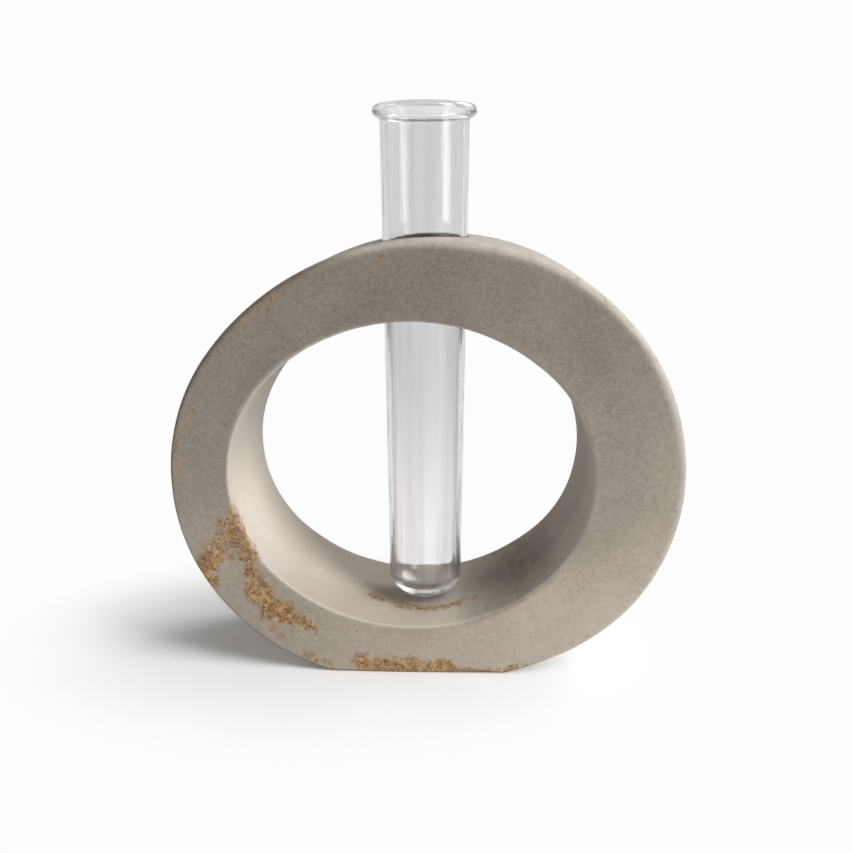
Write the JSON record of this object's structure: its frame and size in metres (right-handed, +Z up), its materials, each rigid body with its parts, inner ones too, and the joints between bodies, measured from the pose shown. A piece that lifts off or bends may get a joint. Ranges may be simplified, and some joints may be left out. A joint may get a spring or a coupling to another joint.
{
  "type": "bud vase",
  "caption": "Upright oval concrete ring on a flat foot, with a clear glass tube that drops through its crown to hold water and a flower stem.",
  "frame": {"origin": "on the ground, under the middle of the concrete ring's width and depth", "axes": "+X to the right across the ring as seen from the front, +Y from the front face to the back face, +Z up along the tube"},
  "size_m": [0.1492, 0.0466, 0.1656],
  "materials": {
    "concrete": "matte, cast, with fine pits and rust-brown stains",
    "clear_glass": "clear, fire-polished"
  },
  "bodies": {
    "ring": {"concrete_ring": "concrete"},
    "tube": {"glass_tube": "clear_glass"}
  },
  "joints": [
    {"name": "tube_lift", "type": "slide", "parent": "ring", "child": "tube", "axis": [0, 0, 1], "range_m": [0, 0.12]}
  ]
}
